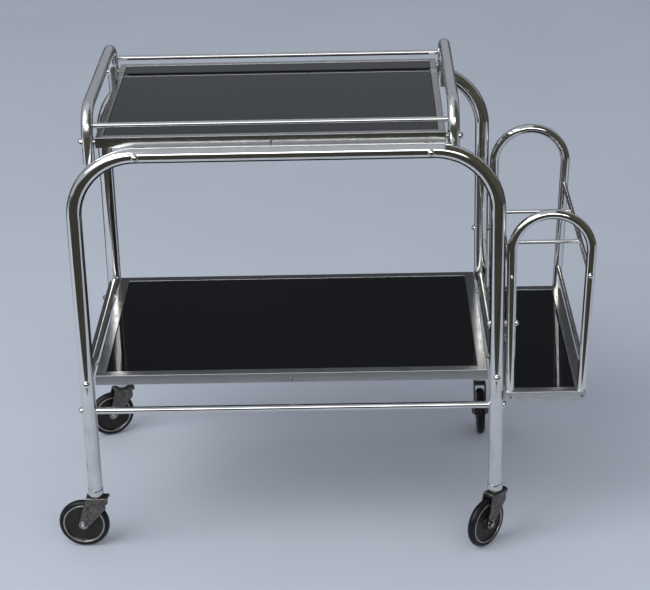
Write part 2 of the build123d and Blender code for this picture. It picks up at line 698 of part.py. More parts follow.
def caster_fork(base):
    """A pressed steel fork: a channel over the wheel whose sides taper to the axle."""
    side = Plane(origin=base.origin, x_dir=base.x_dir, z_dir=-base.y_dir)
    fork_outer = fork_inner + 2 * fork_plate
    fork_length = fork_front + caster_trail + fork_boss_r
    tail = base.from_local_coords((fork_front - fork_length, 0, 0))
    plate_front = fork_front - fork_nose
    with BuildPart() as fork:
        with BuildSketch(Plane(origin=tail, x_dir=base.y_dir, z_dir=base.x_dir)) as section:
            with Locations((0, crown_top_z / 2)):
                Rectangle(fork_outer, crown_top_z)
            fillet(section.vertices().group_by(Axis.Y)[-1], radius=crown_bend_r)
            with Locations((0, (crown_top_z - crown_t) / 2)):
                Rectangle(fork_inner, crown_top_z - crown_t, mode=Mode.SUBTRACT)
        extrude(amount=fork_length)
        with BuildSketch(side.offset(-fork_outer / 2)):
            with Locations((-caster_trail, wheel_r)):
                Circle(fork_boss_r)
            with Locations(((plate_front - fork_back) / 2, (crown_top_z + fork_shoulder_z) / 2)):
                Rectangle(plate_front + fork_back, crown_top_z - fork_shoulder_z)
            make_hull()
            with Locations((fork_front - fork_nose / 2, crown_top_z - fork_nose_depth / 2)):
                Rectangle(fork_nose, fork_nose_depth)
        extrude(amount=fork_outer, mode=Mode.INTERSECT)
        with BuildSketch(base.offset(crown_top_z - crown_t)):
            Circle(stem_d / 2 + running_gap)
        extrude(amount=crown_t, mode=Mode.SUBTRACT)
        with BuildSketch(side.offset(-fork_outer / 2)):
            with Locations((-caster_trail, wheel_r)):
                Circle(axle_d / 2 + running_gap)
        extrude(amount=fork_outer, mode=Mode.SUBTRACT)
    return fork


def caster_stem(base):
    """The swivel stem: riveted under the crown, with a thin collar that meets the socket."""
    rivet_t = 2.5
    with BuildPart() as stem:
        with BuildSketch(base.offset(crown_top_z - crown_t - rivet_t)):
            Circle(stem_d / 2 + 2.5)
        extrude(amount=rivet_t)
        with BuildSketch(base.offset(crown_top_z - crown_t - rivet_t)):
            Circle(stem_d / 2)
        extrude(amount=stem_top_z - crown_top_z + crown_t + rivet_t)
        with BuildSketch(base.offset(crown_top_z)):
            Circle(stem_collar_d / 2)
        extrude(amount=stem_collar_t)
        chamfer(stem.faces().sort_by(Axis.Z)[-1].edges(), length=1.0)
    return stem


def caster_axle(base):
    """The axle bolt through the fork, with a hexagon head, a hexagon nut and their washers."""
    side = Plane(origin=base.origin, x_dir=base.x_dir, z_dir=-base.y_dir)
    half_fork = fork_inner / 2 + fork_plate
    half_axle = half_fork + axle_washer_t + axle_head_t
    with BuildPart() as axle:
        with BuildSketch(side.offset(-half_axle - 1.2)):
            with Locations((-caster_trail, wheel_r)):
                Circle(axle_d / 2)
        extrude(amount=2 * half_axle + 1.2)
        for start in (half_fork, -half_fork - axle_washer_t):
            with BuildSketch(side.offset(start)):
                with Locations((-caster_trail, wheel_r)):
                    Circle(axle_washer_d / 2)
            extrude(amount=axle_washer_t)
        for start in (half_fork + axle_washer_t, -half_axle):
            with BuildSketch(side.offset(start)):
                with Locations((-caster_trail, wheel_r)):
                    RegularPolygon(axle_head_d / 2, 6)
            extrude(amount=axle_head_t)
    return axle


def wheel_section_plane(base):
    """The plane that wheel sections are drawn on: x outwards from the axle, y along the axle."""
    centre = base.from_local_coords((-caster_trail, 0, wheel_r))
    return Plane(origin=centre, x_dir=base.x_dir, z_dir=base.z_dir)


def axle_axis(base):
    """The line that a wheel turns about."""
    return Axis(base.from_local_coords((-caster_trail, 0, wheel_r)), base.y_dir)


def wheel_disc(base):
    """A pressed wheel centre: hub, dished web and raised rims."""
    bore_r = axle_d / 2 + running_gap
    with BuildPart() as disc:
        with BuildSketch(wheel_section_plane(base)):
            with BuildLine():
                Polyline(
                    (bore_r, -hub_length / 2),
                    (hub_d / 2 - 1.5, -hub_length / 2),
                    (hub_d / 2, -web_t / 2 - 1.5),
                    (hub_d / 2 + 4, -web_t / 2),
                    (rim_inner_d / 2 - 3, -web_t / 2),
                    (rim_inner_d / 2, -rim_width / 2 + 0.8),
                    (rim_inner_d / 2 + 1, -rim_width / 2),
                    (tyre_seat_d / 2, -rim_width / 2),
                    (tyre_seat_d / 2, rim_width / 2),
                    (rim_inner_d / 2 + 1, rim_width / 2),
                    (rim_inner_d / 2, rim_width / 2 - 0.8),
                    (rim_inner_d / 2 - 3, web_t / 2),
                    (hub_d / 2 + 4, web_t / 2),
                    (hub_d / 2, web_t / 2 + 1.5),
                    (hub_d / 2 - 1.5, hub_length / 2),
                    (bore_r, hub_length / 2),
                    close=True,
                )
            make_face()
        revolve(axis=axle_axis(base))
    return disc


def wheel_tyre(base):
    """A rubber tyre with a rounded tread."""
    seat_r = tyre_seat_d / 2
    shoulder_r = wheel_r - tread_rise
    half_width = tyre_width / 2
    with BuildPart() as tyre:
        with BuildSketch(wheel_section_plane(base)):
            with BuildLine():
                Line((seat_r, -rim_width / 2), (seat_r, rim_width / 2))
                Line((seat_r, rim_width / 2), (shoulder_r, half_width))
                ThreePointArc((shoulder_r, half_width), (wheel_r, 0), (shoulder_r, -half_width))
                Line((shoulder_r, -half_width), (seat_r, -rim_width / 2))
            make_face()
        revolve(axis=axle_axis(base))
    return tyre


for corner, (leg_x, leg_y) in legs.items():
    turn = radians(swivel[corner])
    caster_base = Plane(origin=(leg_x, leg_y, 0), x_dir=(cos(turn), sin(turn), 0), z_dir=(0, 0, 1))
    save(caster_fork(caster_base), f"{corner}_fork")
    save(caster_stem(caster_base), f"{corner}_stem")
    save(caster_axle(caster_base), f"{corner}_axle")
    save(wheel_disc(caster_base), f"{corner}_wheel_disc")
    save(wheel_tyre(caster_base), f"{corner}_tyre")
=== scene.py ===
import json
import math
import bmesh
import bpy
from mathutils import Matrix, Vector, noise as mnoise


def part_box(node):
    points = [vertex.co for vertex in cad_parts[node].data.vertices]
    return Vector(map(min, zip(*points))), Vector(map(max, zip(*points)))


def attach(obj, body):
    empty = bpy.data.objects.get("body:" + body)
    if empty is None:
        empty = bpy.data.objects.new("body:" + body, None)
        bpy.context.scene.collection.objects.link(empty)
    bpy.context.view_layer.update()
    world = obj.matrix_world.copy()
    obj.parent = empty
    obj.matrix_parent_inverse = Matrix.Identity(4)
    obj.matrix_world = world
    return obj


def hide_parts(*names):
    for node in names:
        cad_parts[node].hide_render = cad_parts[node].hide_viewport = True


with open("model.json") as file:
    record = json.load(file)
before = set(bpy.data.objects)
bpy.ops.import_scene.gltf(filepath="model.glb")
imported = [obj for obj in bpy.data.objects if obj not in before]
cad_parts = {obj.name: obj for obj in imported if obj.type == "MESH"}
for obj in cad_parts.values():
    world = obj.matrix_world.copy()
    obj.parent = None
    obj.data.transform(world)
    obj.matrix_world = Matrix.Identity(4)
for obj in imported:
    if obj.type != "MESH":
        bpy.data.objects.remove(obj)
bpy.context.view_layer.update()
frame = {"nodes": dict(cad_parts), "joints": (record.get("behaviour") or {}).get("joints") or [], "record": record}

NODES = frame["nodes"]
JOINTS = {joint["name"]: joint for joint in frame["joints"]}
CORNERS = ("front_left", "front_right", "rear_left", "rear_right")
MM = 0.001
X_AXIS, Y_AXIS, Z_AXIS = Vector((1, 0, 0)), Vector((0, 1, 0)), Vector((0, 0, 1))


def middle(node):
    """The centre of a CAD node's box."""
    low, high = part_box(node)
    return (low + high) / 2


# ---------------------------------------------------------------- sizes
TUBE_R, TUBE_WALL, BEND_R = 11 * MM, 1.5 * MM, 91.5 * MM  # main frame tube and its corners
CROSS_R, STRETCHER_R = 8 * MM, 5.25 * MM
STRETCHER_TUCK = 0.3 * MM  # how far each end goes past its CAD node, into the leg
ARCH_TUBE_R, ARCH_WALL, ARCH_R = 7 * MM, 1.2 * MM, 56.5 * MM
ARCH_LEAN = math.radians(2.2)  # each arch's outer leg leans in by this much towards its foot
ARCH_STEPS = 110
RACK_RAIL_R = 3.5 * MM
HANDLE_R, HANDLE_WALL, HANDLE_BEND_R = 8.5 * MM, 1.5 * MM, 38 * MM
GALLERY_R = 3.75 * MM
HEAD_R = 5.2 * MM  # dome bolt heads
ROD_FACETS = 32

lowest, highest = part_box("front_frame_tube")
LEG_XS = (lowest.x + TUBE_R, highest.x - TUBE_R)
TOP_Z = highest.z - TUBE_R
FRONT_Y, REAR_Y = middle("front_frame_tube").y, middle("rear_frame_tube").y
MID_X, MID_Y = sum(LEG_XS) / 2, (FRONT_Y + REAR_Y) / 2


# ---------------------------------------------------------------- materials
class Nodes:
    """A material's node tree, with short calls for the nodes that this scene uses."""

    def __init__(self, name):
        self.material = bpy.data.materials.new(name)
        self.material.use_nodes = True
        self.tree = self.material.node_tree
        self.tree.nodes.clear()
        out = self.tree.nodes.new("ShaderNodeOutputMaterial")
        self.shader = self.tree.nodes.new("ShaderNodeBsdfPrincipled")
        self.link(self.shader.outputs[0], out.inputs["Surface"])
        self.coords = self.tree.nodes.new("ShaderNodeTexCoord").outputs["Object"]

    def link(self, source, target):
        self.tree.links.new(source, target)

    def put(self, node, key, value):
        """Sets an input to a number or links it to a socket."""
        if isinstance(value, bpy.types.NodeSocket):
            self.link(value, node.inputs[key])
        else:
            node.inputs[key].default_value = value

    def set(self, **values):
        """Sets the shader's inputs; an underscore stands for a space in an input's name."""
        for key, value in values.items():
            self.put(self.shader, key.replace("_", " "), value)

    def scaled(self, factors):
        """Object coordinates times a factor on each axis, which stretches a pattern."""
        node = self.tree.nodes.new("ShaderNodeMapping")
        self.link(self.coords, node.inputs["Vector"])
        node.inputs["Scale"].default_value = factors
        return node.outputs[0]

    def noise(self, scale, detail, rough, vector=None, distort=0.0):
        node = self.tree.nodes.new("ShaderNodeTexNoise")
        self.link(vector or self.coords, node.inputs["Vector"])
        self.put(node, "Scale", scale)
        self.put(node, "Detail", detail)
        self.put(node, "Roughness", rough)
        self.put(node, "Distortion", distort)
        return node.outputs["Fac"]

    def cells(self, scale):
        """The distance to the nearest of many scattered points."""
        node = self.tree.nodes.new("ShaderNodeTexVoronoi")
        self.link(self.coords, node.inputs["Vector"])
        self.put(node, "Scale", scale)
        return node.outputs["Distance"]

    def span(self, value, low, high, to_low=0.0, to_high=1.0):
        """Maps a value from one range to another, held at the ends."""
        node = self.tree.nodes.new("ShaderNodeMapRange")
        self.put(node, "Value", value)
        ends = {"From Min": low, "From Max": high, "To Min": to_low, "To Max": to_high}
        for key, number in ends.items():
            node.inputs[key].default_value = number
        return node.outputs["Result"]

    def math(self, kind, a, b):
        node = self.tree.nodes.new("ShaderNodeMath")
        node.operation = kind
        for index, value in enumerate((a, b)):
            self.put(node, index, value)
        return node.outputs[0]

    def times(self, a, b):
        return self.math("MULTIPLY", a, b)

    def plus(self, a, b):
        return self.math("ADD", a, b)

    def minus(self, a, b):
        return self.math("SUBTRACT", a, b)

    def mix(self, amount, a, b):
        """Mixes two colours. Inputs 6 and 7 of the node are its two colours."""
        node = self.tree.nodes.new("ShaderNodeMix")
        node.data_type = "RGBA"
        self.put(node, 0, amount)
        for index, value in ((6, a), (7, b)):
            self.put(node, index, value if isinstance(value, bpy.types.NodeSocket) else (*value, 1))
        return node.outputs[2]

    def height(self):
        """Metres above the floor."""
        node = self.tree.nodes.new("ShaderNodeSeparateXYZ")
        self.link(self.coords, node.inputs[0])
        return node.outputs["Z"]

    def bump(self, value, strength, distance):
        """Raises the surface where value is high, by distance in metres."""
        node = self.tree.nodes.new("ShaderNodeBump")
        self.put(node, "Height", value)
        node.inputs["Strength"].default_value = strength
        node.inputs["Distance"].default_value = distance
        self.link(node.outputs[0], self.shader.inputs["Normal"])


def chrome(name, tint, rough, dull, wear_and_reflection_below=None):
    """Plated tube: polished, with hazy patches and fine pits. Given a height in metres as its last argument, it is
    also streaked, most of all near the floor, with dark scratches and with whitish rubbed wear whose bluish-white
    colour is partly a painted reflection of the pale floor."""
    n = Nodes(name)
    haze = n.noise(38, 5, 0.6)
    fine = n.noise(900, 3, 0.6)
    wave = n.noise(16, 2, 0.5)
    pits = n.span(n.cells(420), 0.06, 0.13, 1.0, 0.0)
    patch = n.span(n.noise(60, 4, 0.6, distort=0.4), 0.50, 0.66)
    pit_mask = n.times(pits, patch)
    roughness = n.span(haze, 0.35, 0.7, rough, dull)
    dark = tuple(0.35 * value for value in tint)
    colour = n.mix(n.span(haze, 0.3, 0.7), tint, tuple(0.9 * value for value in tint))
    if wear_and_reflection_below:
        low = n.span(n.height(), 0.05, wear_and_reflection_below, 1.0, 0.0)
        streak = n.span(n.noise(150, 5, 0.7, n.scaled((1.0, 1.0, 0.12))), 0.44, 0.64)
        # Whitish streaks near the floor: rubbing wear, and in their bluish-white colour a painted reflection of
        # the pale floor cloth.
        wear_and_floor_reflection = n.times(low, n.times(streak, n.span(haze, 0.38, 0.62, 0.35, 1.0)))
        colour = n.mix(n.times(wear_and_floor_reflection, 0.75), colour, (0.56, 0.59, 0.63))
        scratch = n.span(n.noise(330, 4, 0.65, n.scaled((1.0, 1.0, 0.06))), 0.54, 0.64)
        scratch = n.times(scratch, n.times(low, n.span(haze, 0.42, 0.6)))
        colour = n.mix(n.times(scratch, 0.85), colour, (0.22, 0.235, 0.25))
        roughness = n.plus(roughness, n.times(wear_and_floor_reflection, 0.30))
        pit_mask = n.times(pit_mask, n.plus(n.times(low, 0.75), 0.25))
    else:
        pit_mask = n.times(pit_mask, 0.3)
    n.set(Base_Color=n.mix(pit_mask, colour, dark), Metallic=1.0)
    n.set(Roughness=n.plus(roughness, n.times(pit_mask, 0.3)))
    surface = n.plus(n.times(fine, 0.12), n.times(wave, 1.2))
    n.bump(n.minus(surface, pit_mask), 0.14, 0.0002)
    return n.material


def worn_sheet(name, tint, stretch, rough, dull):
    """Plated folded sheet: a soft polish with rubbed streaks, faint stains and a few brown flecks."""
    n = Nodes(name)
    streak = n.noise(60, 6, 0.65, n.scaled(stretch))
    stain = n.noise(22, 4, 0.6, distort=0.6)
    fleck = n.span(n.noise(420, 3, 0.6), 0.66, 0.74)
    spots = n.times(fleck, n.span(stain, 0.52, 0.68))
    bright = n.mix(n.span(streak, 0.35, 0.65), tint, tuple(0.88 * value for value in tint))
    tarnish = n.mix(n.span(stain, 0.5, 0.75, 0, 0.30), bright, (0.42, 0.40, 0.36))
    n.set(Base_Color=n.mix(n.times(spots, 0.7), tarnish, (0.16, 0.14, 0.12)), Metallic=1.0)
    n.set(Roughness=n.plus(n.span(streak, 0.3, 0.7, rough, dull), n.times(spots, 0.25)))
    n.bump(n.minus(n.times(streak, 0.5), spots), 0.12, 0.0002)
    return n.material


def black_glass(name):
    """Opaque black glass with faint smears, dust and hairline scratches."""
    n = Nodes(name)
    smear = n.noise(14, 5, 0.6, distort=1.2)
    dust = n.span(n.noise(1300, 2, 0.5), 0.72, 0.80)
    scratch = n.span(n.noise(90, 2, 0.5, n.scaled((1.0, 14.0, 1.0)), distort=0.3), 0.74, 0.77)
    film = n.times(n.plus(dust, scratch), n.span(smear, 0.45, 0.7, 0.1, 0.5))
    n.set(Base_Color=n.mix(film, (0.004, 0.0045, 0.0055), (0.08, 0.08, 0.09)))
    n.set(Roughness=n.plus(n.span(smear, 0.3, 0.7, 0.01, 0.045), n.times(film, 0.25)))
    n.set(IOR=1.5, Specular_IOR_Level=0.36)
    n.bump(n.noise(5, 2, 0.4), 0.02, 0.001)
    return n.material


def fork_steel(name):
    """Pressed steel with tarnished, speckled plating."""
    n = Nodes(name)
    mottle = n.noise(170, 5, 0.7, distort=0.5)
    speck = n.span(n.noise(700, 3, 0.65), 0.50, 0.64)
    large = n.noise(45, 4, 0.6)
    grey = n.mix(n.span(mottle, 0.4, 0.62), (0.070, 0.062, 0.055), (0.21, 0.197, 0.185))
    brown = n.mix(n.span(large, 0.45, 0.7, 0, 0.7), grey, (0.075, 0.060, 0.047))
    n.set(Base_Color=n.mix(n.times(speck, 0.6), brown, (0.40, 0.385, 0.365)), Metallic=1.0)
    n.set(Roughness=n.span(mottle, 0.3, 0.7, 0.30, 0.50))
    n.bump(n.plus(mottle, n.times(speck, 0.4)), 0.35, 0.0003)
    return n.material


def rubber(name):
    """Hard black tyre rubber, lightly scuffed grey."""
    n = Nodes(name)
    grain = n.noise(1500, 3, 0.6)
    scuff = n.span(n.noise(150, 6, 0.7, distort=0.6), 0.48, 0.72)
    n.set(Base_Color=n.mix(n.times(scuff, 0.35), (0.004, 0.004, 0.005), (0.030, 0.029, 0.028)))
    n.set(Roughness=n.span(scuff, 0, 1, 0.34, 0.55), Specular_IOR_Level=0.28)
    n.bump(n.plus(grain, scuff), 0.25, 0.0002)
    return n.material


def wheel_paint(name):
    """Dark brown-grey lacquer over steel, worn through in specks."""
    n = Nodes(name)
    cloud = n.noise(110, 5, 0.65)
    chip = n.span(n.noise(520, 3, 0.6), 0.64, 0.70)
    lacquer = n.mix(cloud, (0.007, 0.006, 0.005), (0.024, 0.020, 0.017))
    n.set(Base_Color=n.mix(chip, lacquer, (0.13, 0.12, 0.11)))
    n.set(Roughness=n.span(cloud, 0.3, 0.7, 0.16, 0.34), Specular_IOR_Level=0.30)
    n.bump(n.minus(cloud, chip), 0.2, 0.0002)
    return n.material


CHROME = chrome("chrome_tube", (0.80, 0.79, 0.76), 0.035, 0.10, wear_and_reflection_below=0.30)
CHROME_HIGH = chrome("chrome_high", (0.80, 0.79, 0.76), 0.03, 0.09)
HANDLE = chrome("handle_tube", (0.90, 0.90, 0.89), 0.15, 0.32)
BOLT = chrome("dome_chrome", (0.82, 0.80, 0.76), 0.05, 0.14)
FERRULE = chrome("ferrule_chrome", (0.74, 0.73, 0.70), 0.06, 0.20)
ZINC = chrome("plain_steel", (0.52, 0.50, 0.47), 0.22, 0.42)
SHEET = worn_sheet("sheet_nickel", (0.63, 0.63, 0.615), (1.0, 1.0, 6.0), 0.12, 0.24)
SCREW = worn_sheet("dark_screw", (0.30, 0.28, 0.25), (1.0, 1.0, 1.0), 0.2, 0.4)
GLASS = black_glass("black_glass")
FORK = fork_steel("fork_steel")
RUBBER = rubber("tyre_rubber")
PAINT = wheel_paint("wheel_paint")
RIM = worn_sheet("rim_metal", (0.40, 0.375, 0.335), (1.0, 1.0, 1.0), 0.16, 0.34)
AXLE = worn_sheet("dark_axle", (0.15, 0.14, 0.13), (1.0, 1.0, 1.0), 0.22, 0.42)
WASHER = worn_sheet("axle_washer", (0.50, 0.49, 0.47), (1.0, 1.0, 1.0), 0.18, 0.36)


# ---------------------------------------------------------------- mesh helpers
def mesh_piece(name, bm, material, body, replaced, crease=35):
    """Turns a bmesh into a piece, smooth except at edges sharper than crease degrees."""
    bmesh.ops.recalc_face_normals(bm, faces=bm.faces)
    for face in bm.faces:
        face.smooth = True
    for edge in bm.edges:
        edge.smooth = len(edge.link_faces) == 2 and edge.calc_face_angle(0) < math.radians(crease)
    mesh = bpy.data.meshes.new(name)
    bm.to_mesh(mesh)
    bm.free()
    mesh.materials.append(material)
    obj = bpy.data.objects.new(name, mesh)
    bpy.context.scene.collection.objects.link(obj)
    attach(obj, body)
    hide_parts(*replaced)


def bend_strain(part):
    """How strongly a bend is rippled at a part of its length: 0 at both ends, most just inside them."""
    return min(1.0, 7 * part, 7 * (1 - part)) * (0.55 + 0.45 * abs(2 * part - 1))


def bent_line(corners, radius):
    """Points, directions and bend strains along straight runs joined by tangent arcs."""
    places = [(corners[0], (corners[1] - corners[0]).normalized(), 0.0)]
    for before, corner, after in zip(corners, corners[1:], corners[2:]):
        into, out = (corner - before).normalized(), (after - corner).normalized()
        turn = into.angle(out)
        reach = radius * math.tan(turn / 2)
        centre = corner - into * reach + (out - into * into.dot(out)).normalized() * radius
        axis = into.cross(out).normalized()
        start = corner - into * reach
        steps = max(8, int(math.degrees(turn) / 1.5))
        for step in range(steps + 1):
            spin = Matrix.Rotation(turn * step / steps, 3, axis)
            places.append((centre + spin @ (start - centre), spin @ into, bend_strain(step / steps)))
    places.append((corners[-1], (corners[-1] - corners[-2]).normalized(), 0.0))
    return places


def tube_into(bm, places, normal, radius, wall, facets, ripple, seed):
    """Adds an open-ended tube along a flat line whose plane has this normal. Its bends get faint
    ripples, up to ripple deep, on their inner and outer sides."""
    layers = []
    for size in (radius, radius - wall):
        rings = []
        for index, (point, along, bent) in enumerate(places):
            side = normal.cross(along).normalized()
            ring = []
            for k in range(facets):
                a = 2 * math.pi * k / facets
                out = math.cos(a)
                r = size
                if size == radius and bent:
                    wave = mnoise.noise(Vector((index * 0.55 + seed, math.sin(a) * 1.5, seed)))
                    r += ripple * bent * out**2 * wave
                ring.append(bm.verts.new(point + (side * out + normal * math.sin(a)) * r))
            rings.append(ring)
        layers.append(rings)
    for rings in layers:
        for first, second in zip(rings, rings[1:]):
            for k in range(facets):
                m = (k + 1) % facets
                bm.faces.new((first[k], first[m], second[m], second[k]))
    for end in (0, -1):
        outer, inner = layers[0][end], layers[1][end]
        for k in range(facets):
            m = (k + 1) % facets
            bm.faces.new((outer[k], outer[m], inner[m], inner[k]))


def facing(point, direction):
    """The placement of something whose Z axis points one way."""
    return Matrix.Translation(point) @ Z_AXIS.rotation_difference(direction).to_matrix().to_4x4()


def spin_into(bm, profile, matrix, facets):
    """Adds a turned shape: (radius, height) pairs about the matrix's Z axis."""
    rings = []
    for radius, height in profile:
        if radius < 1e-7:
            rings.append([bm.verts.new(matrix @ Vector((0, 0, height)))])
            continue
        ring = []
        for k in range(facets):
            a = 2 * math.pi * k / facets
            spot = Vector((radius * math.cos(a), radius * math.sin(a), height))
            ring.append(bm.verts.new(matrix @ spot))
        rings.append(ring)
    pairs = list(zip(rings, rings[1:]))
    if len(rings[0]) > 1 and len(rings[-1]) > 1:
        pairs.append((rings[-1], rings[0]))
    for first, second in pairs:
        for k in range(facets):
            m = (k + 1) % facets
            if len(first) == 1:
                bm.faces.new((first[0], second[m], second[k]))
            elif len(second) == 1:
                bm.faces.new((first[k], first[m], second[0]))
            else:
                bm.faces.new((first[k], first[m], second[m], second[k]))


def rod(node, name, body, radius, axis, tuck=0.0):
    """A chromed rod with slightly rounded ends, through the middle of its CAD node along one axis,
    and longer than the node by tuck at each end."""
    low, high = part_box(node)
    centre = (low + high) / 2
    half = (high - low).dot(axis) / 2 + tuck
    start, end = centre - axis * half, centre + axis * half
    length = (end - start).length
    lip = min(radius * 0.12, length * 0.1)
    profile = [(0, 0), (radius - lip, 0), (radius, lip)]
    profile += [(radius, length - lip), (radius - lip, length), (0, length)]
    bm = bmesh.new()
    spin_into(bm, profile, facing(start, (end - start).normalized()), ROD_FACETS)
    mesh_piece(name, bm, CHROME_HIGH, body, [node])


# ---------------------------------------------------------------- main frame
for which, y in (("front", FRONT_Y), ("rear", REAR_Y)):
    node = f"{which}_frame_tube"
    foot_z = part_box(node)[0].z
    corners = [
        Vector((LEG_XS[0], y, foot_z)),
        Vector((LEG_XS[0], y, TOP_Z)),
        Vector((LEG_XS[1], y, TOP_Z)),
        Vector((LEG_XS[1], y, foot_z)),
    ]
    places = bent_line(corners, BEND_R)
    bm = bmesh.new()
    tube_into(bm, places, Y_AXIS, TUBE_R, TUBE_WALL, facets=56, ripple=0.34 * MM, seed=y * 40)
    mesh_piece(f"{which}_frame", bm, CHROME, "trolley", [node])

for side in ("left", "right"):
    for level in ("upper", "lower"):
        rod(f"{level}_cross_tube_{side}", f"{level}_cross_{side}", "trolley", CROSS_R, Y_AXIS)
for which in ("front", "rear"):
    node, name = f"{which}_stretcher_rod", f"{which}_stretcher"
    rod(node, name, "trolley", STRETCHER_R, X_AXIS, STRETCHER_TUCK)

# ---------------------------------------------------------------- bottle rack
foot_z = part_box("rack_frame")[1].z
for which in ("front", "rear"):
    node = f"rack_{which}_arch"
    low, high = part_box(node)
    y = (low.y + high.y) / 2
    left_x = low.x + ARCH_TUBE_R
    centre = Vector((left_x + ARCH_R, y, high.z - ARCH_TUBE_R - ARCH_R))
    places = [(Vector((left_x, y, foot_z)), Z_AXIS, 0.0)]
    for step in range(ARCH_STEPS + 1):
        a = math.pi - (math.pi + ARCH_LEAN) * step / ARCH_STEPS
        out = Vector((math.cos(a), 0, math.sin(a)))
        along = Vector((math.sin(a), 0, -math.cos(a)))
        places.append((centre + out * ARCH_R, along, bend_strain(step / ARCH_STEPS)))
    end, down, _ = places[-1]
    places.append((end + down * ((end.z - foot_z) / -down.z), down, 0.0))
    bm = bmesh.new()
    tube_into(
        bm, places, Y_AXIS, ARCH_TUBE_R, ARCH_WALL, facets=40, ripple=0.20 * MM, seed=3 + y * 30
    )
    mesh_piece(f"rack_arch_{which}", bm, CHROME_HIGH, "trolley", [node])
for level in ("upper", "lower"):
    for side in ("left", "right"):
        node, name = f"rack_{level}_rail_{side}", f"rack_rail_{level}_{side}"
        rod(node, name, "trolley", RACK_RAIL_R, Y_AXIS)

# ---------------------------------------------------------------- tray
for side in ("left", "right"):
    node = f"tray_handle_{side}"
    low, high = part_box(node)
    x = (low.x + high.x) / 2
    front, rear, top = low.y + HANDLE_R, high.y - HANDLE_R, high.z - HANDLE_R
    corners = [
        Vector((x, front, low.z)),
        Vector((x, front, top)),
        Vector((x, rear, top)),
        Vector((x, rear, low.z)),
    ]
    places = bent_line(corners, HANDLE_BEND_R)
    bm = bmesh.new()
    tube_into(
        bm, places, X_AXIS, HANDLE_R, HANDLE_WALL, facets=48, ripple=0.06 * MM, seed=9 + x * 20
    )
    mesh_piece(f"tray_grip_{side}", bm, HANDLE, "tray", [node])
for which in ("front", "rear"):
    rod(f"tray_rail_{which}", f"tray_gallery_{which}", "tray", GALLERY_R, X_AXIS)


# ---------------------------------------------------------------- dome bolts
def dome_profile(height, sink):
    """A domed head with a short straight skirt; sink is how far its foot goes into the tube."""
    skirt = height * 0.22
    steps = 10
    points = [(0.0, -sink), (HEAD_R, -sink), (HEAD_R, skirt)]
    for step in range(1, steps + 1):
        a = math.pi / 2 * step / steps
        radius = HEAD_R * math.cos(a) if step < steps else 0.0
        points.append((radius, skirt + (height - skirt) * math.sin(a)))
    return points


def domes(name, seats, height, sink, body, node):
    """One piece with a dome at each seat, a point on the tube and the way out from it."""
    bm = bmesh.new()
    for point, out in seats:
        spin_into(bm, dome_profile(height, sink), facing(point, out), 40)
    mesh_piece(name, bm, BOLT, body, [node])


head_h = FRONT_Y - TUBE_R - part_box("cross_tube_bolts")[0].y
ends = ((FRONT_Y - TUBE_R, -Y_AXIS), (REAR_Y + TUBE_R, Y_AXIS))
seats = []
for level in ("upper", "lower"):
    for side in ("left", "right"):
        centre = middle(f"{level}_cross_tube_{side}")
        seats += [(Vector((centre.x, y, centre.z)), out) for y, out in ends]
domes("cross_bolt_domes", seats, head_h, 1.5 * MM, "trolley", "cross_tube_bolts")

head_h = LEG_XS[0] - TUBE_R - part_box("stretcher_bolts")[0].x
seats = []
for which in ("front", "rear"):
    centre = middle(f"{which}_stretcher_rod")
    seats.append((Vector((LEG_XS[0] - TUBE_R, centre.y, centre.z)), -X_AXIS))
    seats.append((Vector((LEG_XS[1] + TUBE_R, centre.y, centre.z)), X_AXIS))
domes("stretcher_bolt_domes", seats, head_h, 1.5 * MM, "trolley", "stretcher_bolts")

bolts_low, bolts_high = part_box("tray_handle_bolts")
head_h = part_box("tray_handle_left")[0].x - bolts_low.x
seats = []
for side, out in (("left", -X_AXIS), ("right", X_AXIS)):
    low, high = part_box(f"tray_handle_{side}")
    x = low.x if side == "left" else high.x
    for y in (low.y + HANDLE_R, high.y - HANDLE_R):
        seats.append((Vector((x, y, (bolts_low.z + bolts_high.z) / 2)), out))
domes("handle_bolt_domes", seats, head_h, 2.0 * MM, "tray", "tray_handle_bolts")

# ---------------------------------------------------------------- casters
LIP_R, LIP_ROUND = 11.7 * MM, 2.6 * MM  # the cup on each leg's foot and its rounded lower edge
LIP_STEPS = 8
CUP_TOP = 11.1 * MM
PLUG_R, PLUG_TOP, PLUG_BORE_R = 9.0 * MM, 30 * MM, 5.1 * MM  # the part inside the leg
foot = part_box("caster_sockets")[0].z
ferrule = [(PLUG_BORE_R, foot), (LIP_R - LIP_ROUND, foot)]
for step in range(1, LIP_STEPS + 1):
    a = math.pi / 2 * step / LIP_STEPS
    rise = LIP_ROUND * (1 - math.cos(a))
    ferrule.append((LIP_R - LIP_ROUND * (1 - math.sin(a)), foot + rise))
ferrule += [(LIP_R, foot + 10.2 * MM), (LIP_R - 0.3 * MM, foot + 10.9 * MM)]
ferrule += [(TUBE_R - 0.2 * MM, foot + CUP_TOP), (PLUG_R, foot + CUP_TOP)]
ferrule += [(PLUG_R, foot + PLUG_TOP), (PLUG_BORE_R, foot + PLUG_TOP)]
bm = bmesh.new()
for x in LEG_XS:
    for y in (FRONT_Y, REAR_Y):
        spin_into(bm, ferrule, Matrix.Translation(Vector((x, y, 0))), 48)
mesh_piece("leg_ferrules", bm, FERRULE, "trolley", ["caster_sockets"])

